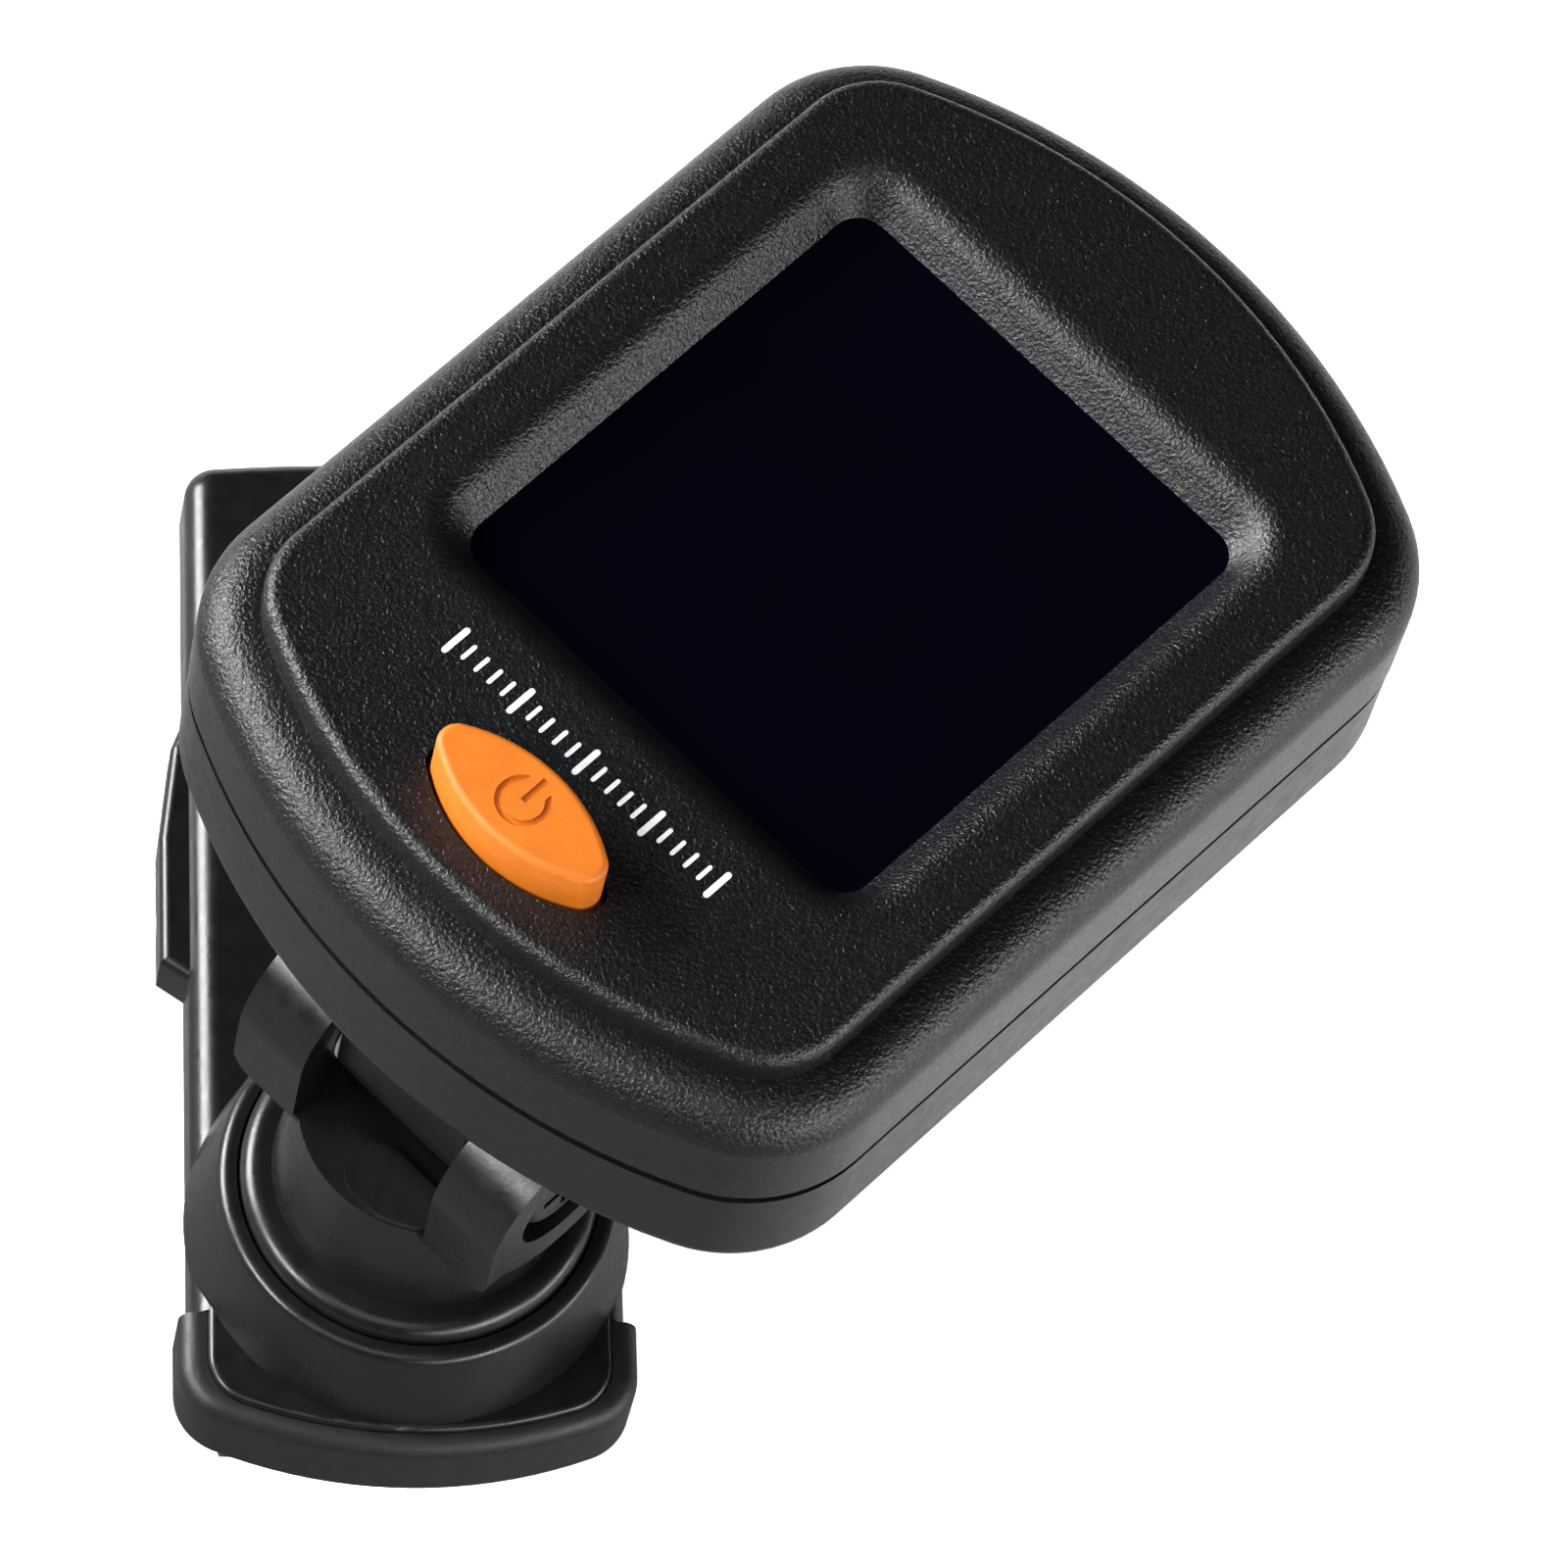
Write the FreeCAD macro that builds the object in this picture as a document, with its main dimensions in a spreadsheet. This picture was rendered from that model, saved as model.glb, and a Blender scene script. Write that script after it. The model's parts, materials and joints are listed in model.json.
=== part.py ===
"""Clip-on tuner: a display head on a tilting clevis and turntable, carried by a squeeze clip.

Row frame, in millimetres: the origin is the middle of the grip between the two rubber pads,
+Z points from the lower jaw to the upper jaw, and +Y runs from the nose to the finger tabs.
The head has a frame of its own: U across it, V from the button to the display, W out of the
front panel, with W = 0 on the panel. At rest it is turned about Z and level with the clip.
"""
import FreeCAD, Part
import Sketcher
import math
import os
from FreeCAD import Placement, Rotation, Vector

doc = FreeCAD.newDocument("clip_on_tuner")
sheet = doc.addObject("Spreadsheet::Sheet", "dims")

DIMENSIONS = {
    # where the moving joints are
    "swivel_y": 5.0, "swivel_turn": -46.0, "tilt_z": 22.1, "clip_pin_y": 22.5,
    # head: position of the tilt axis in the head's own frame
    "tilt_v": -21.0, "tilt_w": -24.9,
    # head outline and height levels
    "head_half_width": 20.0, "head_half_length": 27.5, "head_end_radius": 35.5,
    "head_corner": 7.5, "seam_w": -8.55, "seam_gap": 0.65, "rear_w": -15.7, "rear_inset": 0.05,
    "shoulder_w": -1.9, "shoulder_radius": 2.4, "panel_inset": 2.75, "panel_corner": 4.6,
    "panel_edge": 0.7, "wall": 1.6, "cavity_w": -3.9, "inner_inset": 4.4, "rear_edge": 1.3,
    "tongue_inset": 1.7, "tongue_wall": 0.9, "tongue_height": 1.4,
    # display
    "window_v": 2.05, "window_half_width": 12.35, "window_half_length": 13.35,
    "window_corner": 1.5, "window_round": 1.8, "bevel": 1.5, "glass_w": -1.92,
    "glass_thick": 1.0, "glass_lap": 1.0, "lcd_thick": 2.0, "light_thick": 1.25,
    "stack_gap": 0.04, "zebra_width": 24.0, "zebra_depth": 1.6,
    # circuit board
    "board_w": -6.4, "board_thick": 1.0, "board_half_width": 17.2, "board_half_length": 17.0,
    "board_tongue": 12.0, "board_end": -23.4, "rail_width": 1.1, "rail_length": 16.0,
    # button
    "button_u": 0.2, "button_v": -20.4, "button_half_length": 5.65, "button_radius": 8.35,
    "button_rise": 2.7, "button_gap": 0.18, "button_travel": 0.6, "button_edge": 0.35,
    "icon_radius": 1.3, "icon_stroke": 0.32, "icon_gap": 1.3, "icon_bar": 1.5, "icon_depth": 0.14,
    "button_corner": 1.0, "flange_length": 12.2, "flange_width": 3.2, "flange_thick": 0.9,
    "plunger_radius": 1.2, "switch_size": 4.0, "switch_thick": 0.8, "switch_plunger": 0.9,
    # case screws
    "post_u": 15.6, "post_v": 19.6, "post_radius": 2.0, "boss_radius": 2.7,
    "screw_radius": 0.95, "screw_hole": 1.0, "screw_head": 2.0, "screw_head_thick": 1.4,
    "screw_seat_w": -13.5, "screw_tip_w": -5.0, "counterbore": 2.2,
    "drive_reach": 1.3, "drive_half_width": 0.25, "drive_depth": 0.55,
    # battery, its door and contacts
    "cell_radius": 10.0, "cell_thick": 3.2, "cell_v": 3.4, "cell_w": -14.35, "well_wall": 1.1,
    "door_start": -8.6, "door_half_width": 11.0, "door_tongue": 1.2, "door_w": -14.4,
    "door_split_w": -15.05, "door_gap": 0.12, "floor_w": -14.1, "platform_w": -13.2,
    "contact_thick": 0.25, "contact_half_width": 2.0, "contact_reach": 3.4,
    "grip_start": 2.2, "grip_pitch": 1.3, "grip_width": 0.55, "grip_half_length": 4.0,
    # sound pick-up and controller
    "piezo_radius": 5.9, "piezo_v": -15.8, "piezo_thick": 0.4, "ceramic_radius": 4.2,
    "ceramic_thick": 0.25, "blob_radius": 4.5, "blob_height": 1.2,
    # tilt joint
    "knuckle_radius": 3.2, "knuckle_half_width": 4.0, "pivot_hole": 1.25, "pivot_radius": 1.2,
    "ear_half_width": 8.4, "ear_radius": 5.3, "slot_half_width": 4.35, "trough_radius": 4.5,
    "lip_z": 18.0, "ear_foot_z": 17.6, "ear_recess": 3.3, "ear_recess_depth": 1.9,
    "tilt_head_radius": 2.6, "tilt_head_thick": 1.6, "tilt_drive_reach": 1.6,
    "nut_flats": 4.4, "nut_thick": 1.7,
    "washer_thick": 0.26, "washer_radius": 3.1,
    "stop_u": 0.6, "stop_v": -4.7, "stop_half_width": 1.5, "stop_height": 0.5,
    # turntable and the tower that holds it
    "disc_radius": 8.65, "disc_floor_z": 7.5, "disc_top_z": 10.9, "disc_edge": 0.9,
    "neck_foot_radius": 7.2, "neck_top_radius": 6.6, "stem_radius": 3.0, "stem_z": 4.97,
    "tower_foot_radius": 10.85, "tower_foot_z": 3.9, "tower_top_radius": 9.6,
    "tower_z": 9.95, "tower_edge": 0.6,
    "socket_radius": 8.78, "socket_z": 7.4, "stem_hole": 3.08, "tower_floor_z": 5.6,
    "screw_well_radius": 5.6, "swivel_screw_radius": 0.9, "swivel_screw_top": 13.5,
    "swivel_head_radius": 2.2, "swivel_head_z": 3.25, "retainer_radius": 5.0,
    "retainer_thick": 0.5,
    # upper lever
    "lever_half_width": 10.5, "lever_top_z": 4.8, "lever_foot_z": 0.6, "lever_edge": 1.4,
    "tab_end_y": 47.2, "tab_end_radius": 80.0, "tab_corner": 1.6, "lever_wall": 1.6,
    "channel_top_z": 3.2, "channel_start_y": 8.2, "nose_half_width": 9.75, "nose_y": -5.95,
    "nose_end_radius": 25.0, "nose_corner": 2.6, "nose_root_y": 0.2, "pad_seat_z": 1.3,
    "boss_half_width": 11.85, "boss_start_y": 18.2, "boss_face_start": 19.2,
    "boss_face_end": 26.0, "boss_end_y": 33.2, "boss_foot_z": 0.9, "boss_top_z": 3.9,
    "boss_edge": 0.5, "lobe_radius": 3.2, "clip_pin_radius": 1.2, "clip_pin_half": 10.4,
    # pads
    "pad_face_z": 0.1, "boot_half_width": 11.1, "boot_y": -6.95, "boot_top_z": 4.5,
    "boot_corner": 3.0, "pad_back_y": 7.9, "pad_half_width": 9.0, "boot_edge": 0.95,
    "lower_pad_y": -5.0,
    # lower lever
    "lower_half_width": 8.6, "lower_wall": 1.6, "lower_seat_z": -1.3, "lower_foot_z": -5.0,
    "lower_nose_y": -4.6, "lug_radius": 2.8, "bend_y": 24.0, "lower_tab_y": 43.0,
    "tab_slope": 21.5, "tab_depth": 3.4, "lower_core_y": 8.4, "lower_pin_hole": 1.25,
    "rib_radius": 0.45, "rib_pitch": 2.2,
    # torsion spring
    "wire_radius": 0.5, "coil_radius": 2.1, "coil_turns": 7, "coil_pitch": 1.06,
    "leg_length": 15.0, "lower_leg_slope": 17.5, "upper_leg_slope": 1.5,
}

for row, (alias, number) in enumerate(DIMENSIONS.items(), start=1):
    sheet.set(f"A{row}", alias)
    sheet.set(f"B{row}", str(number))
    sheet.setAlias(f"B{row}", alias)
doc.recompute()

UP = Vector(0, 0, 1)
CROSS = (("drive_reach", "drive_half_width"), ("drive_half_width", "drive_reach"))
sub_parts = {}


# ---------------------------------------------------------------- helpers

def cells(formula):
    """Turn a formula written with plain names into one that reads the sheet's cells."""
    words = []
    word = ""
    for letter in str(formula) + " ":
        if letter.isalnum() or letter in "_.":
            word += letter
            continue
        words.append("dims." + word if word in DIMENSIONS else word)
        words.append(letter)
        word = ""
    return "".join(words).strip()


def value(formula):
    """The number that a formula gives with the sheet as it is now."""
    result = sheet.evalExpression(cells(formula))
    return float(getattr(result, "Value", result))


def bind(thing, prop, formula):
    """Set a property's number and tie it to the sheet."""
    thing.setExpression(prop, cells(formula))


def place(thing, x="0", y="0", z="0"):
    """Tie an object's position to the sheet."""
    for letter, formula in zip("xyz", (x, y, z)):
        bind(thing, f".Placement.Base.{letter}", formula)


def finish(thing, label, turned=False):
    """Name a sub-part, and put one built in the head's frame where the head is at rest."""
    if turned:
        thing.Placement = Placement(Vector(), Rotation(UP, value("swivel_turn")))
        place(thing, "tilt_v * sin(swivel_turn)", "swivel_y - tilt_v * cos(swivel_turn)",
              "tilt_z - tilt_w")
    thing.Label = label
    sub_parts[label] = thing
    return thing


def finish_turntable(thing, label):
    """Name a sub-part built about the swivel axis, turned as the turntable is at rest."""
    thing.Placement = Placement(Vector(), Rotation(UP, value("swivel_turn")))
    place(thing, "0", "swivel_y", "0")
    return finish(thing, label)


def box(x0, x1, y0, y1, z0, z1):
    """A box between six planes."""
    thing = doc.addObject("Part::Box", "Box")
    bind(thing, "Length", f"({x1}) - ({x0})")
    bind(thing, "Width", f"({y1}) - ({y0})")
    bind(thing, "Height", f"({z1}) - ({z0})")
    place(thing, x0, y0, z0)
    return thing


def rod(radius, start, length, x="0", y="0", z="0", along="Z"):
    """A cylinder whose axis passes through a point, starting at a distance along the axis."""
    thing = doc.addObject("Part::Cylinder", "Rod")
    bind(thing, "Radius", radius)
    bind(thing, "Height", length)
    if along == "X":
        thing.Placement = Placement(Vector(), Rotation(Vector(0, 1, 0), 90))
        place(thing, start, y, z)
    else:
        place(thing, x, y, start)
    return thing


def cone(foot_radius, top_radius, foot_z, top_z, y="0"):
    """A cone frustum about a vertical axis."""
    thing = doc.addObject("Part::Cone", "Cone")
    bind(thing, "Radius1", foot_radius)
    bind(thing, "Radius2", top_radius)
    bind(thing, "Height", f"({top_z}) - ({foot_z})")
    place(thing, "0", y, foot_z)
    return thing


def fuse(*things):
    """One solid from several."""
    joined = doc.addObject("Part::MultiFuse", "Fuse")
    joined.Shapes = list(things)
    joined.Refine = True
    return joined


def group(*things):
    """Several separate solids kept as one sub-part."""
    together = doc.addObject("Part::Compound", "Group")
    together.Links = list(things)
    return together


def cut(base, *tools):
    """A solid with others taken away."""
    left = doc.addObject("Part::Cut", "Cut")
    left.Base = base
    left.Tool = tools[0] if len(tools) == 1 else fuse(*tools)
    return left


def common(first, second):
    """The space that two solids share."""
    shared = doc.addObject("Part::Common", "Common")
    shared.Base = first
    shared.Tool = second
    return shared


def rounded(base, radius, wanted):
    """Round the edges of a solid that a test picks."""
    doc.recompute()
    size = value(radius)
    chosen = [(i, size, size) for i, edge in enumerate(base.Shape.Edges, start=1) if wanted(edge)]
    if not chosen:
        raise ValueError(f"no edge to round by {radius}")
    smooth = doc.addObject("Part::Fillet", "Rounded")
    smooth.Base = base
    smooth.Edges = chosen
    return smooth


def middle(edge):
    """The point half way along an edge."""
    return edge.valueAt((edge.FirstParameter + edge.LastParameter) / 2)


def runs_along(edge, direction):
    """Whether an edge is straight and parallel to a direction."""
    ends = [vertex.Point for vertex in edge.Vertexes]
    if len(ends) != 2 or edge.Curve.TypeId != "Part::GeomLine":
        return False
    run = ends[1] - ends[0]
    return run.Length > 1e-6 and run.cross(direction).Length < 1e-6 * run.Length


def lies_at(edge, height):
    """Whether the whole edge lies in the horizontal plane at a height."""
    span = edge.BoundBox
    return abs(span.ZMin - height) < 1e-4 and abs(span.ZMax - height) < 1e-4


def new_body(name):
    """A PartDesign body."""
    return doc.addObject("PartDesign::Body", name)


def sketch_on(body, name, role="XY_Plane", lift="0"):
    """A sketch on one of a body's own origin planes, lifted along the plane's normal."""
    sketch = body.newObject("Sketcher::SketchObject", name)
    plane = next(f for f in body.Origin.OriginFeatures if f.Role == role)
    sketch.AttachmentSupport = [(plane, "")]
    sketch.MapMode = "FlatFace"
    bind(sketch, ".AttachmentOffset.Base.z", lift)
    doc.recompute()
    return sketch


def pin_vertex(sketch, geo, end, x, y):
    """Tie one vertex of a sketch to a position given by two formulas."""
    for kind, axis, formula in (("DistanceX", -2, x), ("DistanceY", -1, y)):
        if abs(value(formula)) < 1e-9:
            sketch.addConstraint(Sketcher.Constraint("PointOnObject", geo, end, axis))
            continue
        index = sketch.addConstraint(Sketcher.Constraint(kind, -1, 1, geo, end, value(formula)))
        bind(sketch, f"Constraints[{index}]", formula)


def draw(sketch, corners):
    """Draw a closed outline through corners (x, y) or (x, y, radius).

    A corner with a radius is reached by an arc of that radius: anticlockwise if positive.
    """
    count = len(corners)
    ends = []
    for i, corner in enumerate(corners):
        before = corners[i - 1]
        start = Vector(value(before[0]), value(before[1]), 0)
        stop = Vector(value(corner[0]), value(corner[1]), 0)
        if len(corner) == 2:
            geo = sketch.addGeometry(Part.LineSegment(start, stop), False)
            ends.append((geo, 1, 2))
            continue
        radius = value(corner[2])
        chord = stop - start
        lift = math.sqrt(radius ** 2 - (chord.Length / 2) ** 2)
        side = Vector(-chord.y, chord.x, 0).normalize() * math.copysign(lift, radius)
        centre = (start + stop) * 0.5 + side
        first, last = (start, stop) if radius > 0 else (stop, start)
        angles = [math.atan2(p.y - centre.y, p.x - centre.x) for p in (first, last)]
        circle = Part.Circle(centre, Vector(0, 0, 1), abs(radius))
        geo = sketch.addGeometry(Part.ArcOfCircle(circle, *angles), False)
        ends.append((geo, 1, 2) if radius > 0 else (geo, 2, 1))
    for i in range(count):
        geo, _, finish_end = ends[i]
        following, start_end, _ = ends[(i + 1) % count]
        sketch.addConstraint(Sketcher.Constraint("Coincident", geo, finish_end, following, start_end))
    for (geo, _, finish_end), corner in zip(ends, corners):
        pin_vertex(sketch, geo, finish_end, corner[0], corner[1])
        if len(corner) == 3:
            radius = abs(value(corner[2]))
            index = sketch.addConstraint(Sketcher.Constraint("Radius", geo, radius))
            bind(sketch, f"Constraints[{index}]", f"abs({corner[2]})")
    doc.recompute()


def pad(body, sketch, length, both_ways=False):
    """Raise a sketch into a solid."""
    raised = body.newObject("PartDesign::Pad", "Pad")
    raised.Profile = sketch
    raised.Midplane = both_ways
    bind(raised, "Length", length)
    body.Tip = raised
    doc.recompute()
    return raised


def turn(body, sketch):
    """Turn a sketch about its own vertical axis."""
    turned = body.newObject("PartDesign::Revolution", "Revolution")
    turned.Profile = sketch
    turned.ReferenceAxis = (sketch, ["V_Axis"])
    turned.Angle = 360
    body.Tip = turned
    doc.recompute()
    return turned


def round_edges(body, radius, wanted):
    """Round the edges of a body that a test picks."""
    base = body.Tip
    names = [f"Edge{i}" for i, edge in enumerate(base.Shape.Edges, start=1) if wanted(edge)]
    if not names:
        raise ValueError(f"no edge to round by {radius}")
    smooth = body.newObject("PartDesign::Fillet", "Fillet")
    smooth.Base = (base, names)
    bind(smooth, "Radius", radius)
    body.Tip = smooth
    doc.recompute()
    return smooth


def case_slab(name, inset, corner, low, high):
    """A slab with the head's outline, drawn in by an inset, between two levels."""
    body = new_body(name)
    sketch = sketch_on(body, name + "_outline", lift=low)
    half = f"(head_half_width - ({inset}))"
    radius = f"(head_end_radius - ({inset}))"
    centre = "(head_end_radius - head_half_length)"
    side = f"(sqrt({radius} * {radius} - {half} * {half}) - {centre})"
    draw(sketch, [
        (half, side),
        (f"-{half}", side, radius),
        (f"-{half}", f"-({side})"),
        (half, f"-({side})", radius),
    ])
    pad(body, sketch, f"({high}) - ({low})")
    round_edges(body, corner, lambda edge: runs_along(edge, UP))
    return body


def lens(name, half_length, radius, low, high, u="0", v="0"):
    """A slab with a lens-shaped outline: two arcs that meet at its ends."""
    body = new_body(name)
    sketch = sketch_on(body, name + "_outline", lift=low)
    draw(sketch, [
        (f"({u}) - ({half_length})", v, radius),
        (f"({u}) + ({half_length})", v, radius),
    ])
    pad(body, sketch, f"({high}) - ({low})")
    round_edges(body, "button_corner", lambda edge: runs_along(edge, UP))
    return body


def window_slab(name, low, high, flare="0"):
    """A slab with the window's rounded outline, widening upwards by a flare all round."""
    body = new_body(name)
    sketch = sketch_on(body, name + "_outline", lift=low)
    straight_u = "(window_half_width - window_corner)"
    low_v, high_v = "(window_v - window_half_length)", "(window_v + window_half_length)"
    near_v, far_v = f"({low_v} + window_corner)", f"({high_v} - window_corner)"
    draw(sketch, [
        (straight_u, low_v),
        ("window_half_width", near_v, "window_corner"),
        ("window_half_width", far_v),
        (straight_u, high_v, "window_corner"),
        (f"-{straight_u}", high_v),
        ("-window_half_width", far_v, "window_corner"),
        ("-window_half_width", near_v),
        (f"-{straight_u}", low_v, "window_corner"),
    ])
    raised = pad(body, sketch, f"({high}) - ({low})")
    if flare != "0":
        bind(raised, "TaperAngle", f"atan(({flare}) / (({high}) - ({low})))")
        doc.recompute()
    return body


def four_posts(radius, low, length):
    """Four equal cylinders on the case-screw axes."""
    places = [(f"{a} * post_u", f"{b} * post_v") for a in (1, -1) for b in (1, -1)]
    return [rod(radius, low, length, x=u, y=v) for u, v in places]


# ---------------------------------------------------------------- head

def make_front_shell():
    wall_part = case_slab("FrontWall", "0", "head_corner", "seam_w", "shoulder_w")
    round_edges(wall_part, "shoulder_radius", lambda edge: lies_at(edge, value("shoulder_w")))
    panel = case_slab("FrontPanel", "panel_inset", "panel_corner", "shoulder_w - 0.5", "0")
    round_edges(panel, "panel_edge", lambda edge: lies_at(edge, 0))
    shell = fuse(wall_part, panel)
    outer = case_slab("OuterCavity", "wall", "head_corner - wall", "seam_w - 1", "cavity_w")
    inner = case_slab("InnerCavity", "inner_inset", "panel_corner - wall", "cavity_w - 1",
                      "glass_w + stack_gap / 2")
    recess = window_slab("WindowRecess", "glass_w", "0", flare="bevel")
    opening = window_slab("WindowOpening", "glass_w - 1", "glass_w + 0.01")
    slot = lens("ButtonSlot", "button_half_length + 1.5 * button_gap",
                "button_radius + button_gap", "glass_w - 1", "1", u="button_u", v="button_v")
    rim_u, rim_v = value("window_half_width + bevel"), value("window_half_length + bevel")
    faced = rounded(cut(shell, recess), "window_round", lambda edge: lies_at(edge, 0)
                    and abs(middle(edge).x) < rim_u + 0.1
                    and abs(middle(edge).y - value("window_v")) < rim_v + 0.1)
    hollow = cut(faced, outer, inner, opening, slot)
    rails = []
    for middle_u in ("(board_half_width + 0.6)", "(-board_half_width - 0.6)"):
        rails.append(box(f"{middle_u} - rail_width", f"{middle_u} + rail_width", "-rail_length / 2",
                         "rail_length / 2", "board_w + stack_gap", "cavity_w + 0.5"))
    posts = four_posts("post_radius", "seam_w + 0.1", "cavity_w + 0.5 - seam_w")
    solid = fuse(hollow, *posts, *rails)
    bores = four_posts("screw_hole", "seam_w - 1", "screw_tip_w - seam_w + 1.3")
    finish(cut(solid, *bores), "front_shell", turned=True)


def make_rear_shell():
    top_w = "(seam_w - seam_gap)"
    outer = case_slab("RearWall", "rear_inset", "head_corner - rear_inset", "rear_w", top_w)
    round_edges(outer, "rear_edge", lambda edge: lies_at(edge, value("rear_w")))
    cavity = case_slab("RearCavity", "rear_inset + wall", "head_corner - rear_inset - wall",
                       "floor_w", f"{top_w} + 2")
    tongue_out = case_slab("TongueOut", "tongue_inset", "head_corner - tongue_inset",
                           f"{top_w} - 1", f"{top_w} + tongue_height")
    tongue_in = case_slab("TongueIn", "tongue_inset + tongue_wall",
                          "head_corner - tongue_inset - tongue_wall", f"{top_w} - 2", f"{top_w} + 2")
    post_gaps = four_posts("post_radius + 0.2", top_w, "tongue_height + 1")
    tongue = cut(tongue_out, tongue_in, *post_gaps)
    tray = cut(outer, cavity)
    platform = box("-door_half_width - 2.4", "door_half_width + 2.4", "door_start - 1.2",
                   "head_half_length", "floor_w - 0.2", "platform_w")
    platform = common(platform, case_slab("PlatformLimit", "rear_inset + 0.5", "head_corner - 0.8",
                                          "floor_w - 1", "0"))
    well = rod("cell_radius + 0.35 + well_wall", "platform_w - 0.2",
               "cell_w + cell_thick - platform_w + 0.5", y="cell_v")
    bosses = four_posts("boss_radius", "floor_w - 0.2", f"{top_w} - floor_w + 0.2")
    bosses = [common(boss, case_slab("BossLimit", "rear_inset + 0.2", "head_corner - 0.6",
                                     "floor_w - 1", "0")) for boss in bosses]
    barrel = rod("knuckle_radius", "-knuckle_half_width", "2 * knuckle_half_width",
                 y="tilt_v", z="tilt_w", along="X")
    neck = box("-knuckle_half_width", "knuckle_half_width", "tilt_v - knuckle_radius",
               "tilt_v + knuckle_radius", "tilt_w", "rear_w + 0.3")
    foot = box("-knuckle_half_width - 0.8", "knuckle_half_width + 0.8",
               "tilt_v - knuckle_radius - 0.5", "tilt_v + knuckle_radius + 0.8",
               "rear_w - 0.9", "rear_w + 0.3")
    solid = fuse(tray, tongue, platform, well, barrel, neck, foot, *bosses)
    channel = door_form("door_gap", "door_w")
    cell_bore = rod("cell_radius + 0.35", "door_w - 0.2", "cell_thick + 1.6", y="cell_v")
    slit = box("-2.2", "2.2", "cell_v - cell_radius - 0.95", "cell_v - cell_radius + 1",
               "door_w - 0.2", "cell_w + cell_thick + 1")
    pivot = rod("pivot_hole", "-knuckle_half_width - 1", "2 * knuckle_half_width + 2",
                y="tilt_v", z="tilt_w", along="X")
    screw_bores = four_posts("screw_hole + 0.1", "rear_w - 1", f"{top_w} - rear_w + 4")
    head_bores = four_posts("counterbore", "rear_w - 1", "screw_seat_w - rear_w + 1")
    shell = cut(solid, channel, cell_bore, slit, pivot, *screw_bores, *head_bores)
    finish(shell, "rear_shell", turned=True)


def door_form(gap, top):
    """The battery door's T-shaped section, or the channel it slides in when it has a gap."""
    plate = box(f"-door_half_width - ({gap})", f"door_half_width + ({gap})",
                f"door_start - ({gap})", "head_half_length + 2", "rear_w - 1", top)
    tongues = box(f"-door_half_width - door_tongue - ({gap})",
                  f"door_half_width + door_tongue + ({gap})",
                  f"door_start - ({gap})", "head_half_length + 2",
                  f"door_split_w - ({gap}) / 2", top)
    return fuse(plate, tongues)


def make_battery_door():
    outer = case_slab("DoorLimit", "rear_inset", "head_corner - rear_inset", "rear_w", "-10")
    round_edges(outer, "rear_edge", lambda edge: lies_at(edge, value("rear_w")))
    plate = common(door_form("0", "door_w - 0.05"), outer)
    starts = [f"(door_start + grip_start + {i} * grip_pitch)" for i in range(4)]
    grooves = [box("-grip_half_length", "grip_half_length", start, f"{start} + grip_width",
                   "rear_w - 1", "rear_w + 0.3") for start in starts]
    finish(cut(plate, *grooves), "battery_door", turned=True)


def make_display():
    half_u = "(window_half_width + glass_lap)"
    half_v = "(window_half_length + glass_lap)"
    low_v = f"window_v - {half_v}"
    high_v = f"window_v + {half_v}"
    glass = box(f"-{half_u}", half_u, low_v, high_v, "glass_w - glass_thick", "glass_w")
    place_in_head(glass, "display_window")
    lcd_top = "glass_w - glass_thick - stack_gap"
    lcd = box(f"-{half_u}", half_u, low_v, high_v, f"{lcd_top} - lcd_thick", lcd_top)
    place_in_head(lcd, "lcd_module")
    light_top = f"{lcd_top} - lcd_thick - stack_gap"
    light_low_v = f"{low_v} + zebra_depth + 1"
    light = box(f"-{half_u}", half_u, light_low_v, high_v, f"{light_top} - light_thick", light_top)
    place_in_head(light, "backlight_panel")
    zebra = box("-zebra_width / 2", "zebra_width / 2", f"{low_v} + 0.4",
                f"{low_v} + 0.4 + zebra_depth", "board_w + stack_gap / 2", light_top)
    place_in_head(zebra, "zebra_connector")


def place_in_head(thing, label):
    """Wrap a primitive whose own position is already bound, and move the wrap to the head."""
    return finish(group(thing), label, turned=True)


def make_circuit_board():
    body = new_body("BoardBody")
    sketch = sketch_on(body, "board_outline", lift="board_w - board_thick")
    draw(sketch, [
        ("board_half_width", "-board_half_length"),
        ("board_half_width", "board_half_length"),
        ("-board_half_width", "board_half_length"),
        ("-board_half_width", "-board_half_length"),
        ("-board_tongue", "-board_half_length"),
        ("-board_tongue", "board_end"),
        ("board_tongue", "board_end"),
        ("board_tongue", "-board_half_length"),
    ])
    pad(body, sketch, "board_thick")
    finish(body, "circuit_board", turned=True)


def make_controller_chip():
    body = new_body("ChipBody")
    sketch = sketch_on(body, "chip_section", role="XZ_Plane")
    under = "board_w - board_thick"
    bulge = "((blob_radius * blob_radius + blob_height * blob_height) / (2 * blob_height))"
    draw(sketch, [
        ("0", under),
        ("0", f"{under} - blob_height"),
        ("blob_radius", under, bulge),
    ])
    turn(body, sketch)
    finish(body, "controller_chip", turned=True)


def make_power_button():
    low = "(glass_w - stack_gap)"
    cap = lens("ButtonCap", "button_half_length", "button_radius", low, "button_rise",
               u="button_u", v="button_v")
    round_edges(cap, "button_edge", lambda edge: lies_at(edge, value("button_rise")))
    flange = box("button_u - flange_length / 2", "button_u + flange_length / 2",
                 "button_v - flange_width / 2", "button_v + flange_width / 2",
                 f"{low} - flange_thick", low)
    tip = "(board_w + switch_thick + button_travel + 0.1)"
    plunger = rod("plunger_radius", tip, f"{low} - {tip} - flange_thick / 2",
                  x="button_u", y="button_v")
    finish(cut(fuse(cap, flange, plunger), power_symbol()), "power_button", turned=True)


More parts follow.
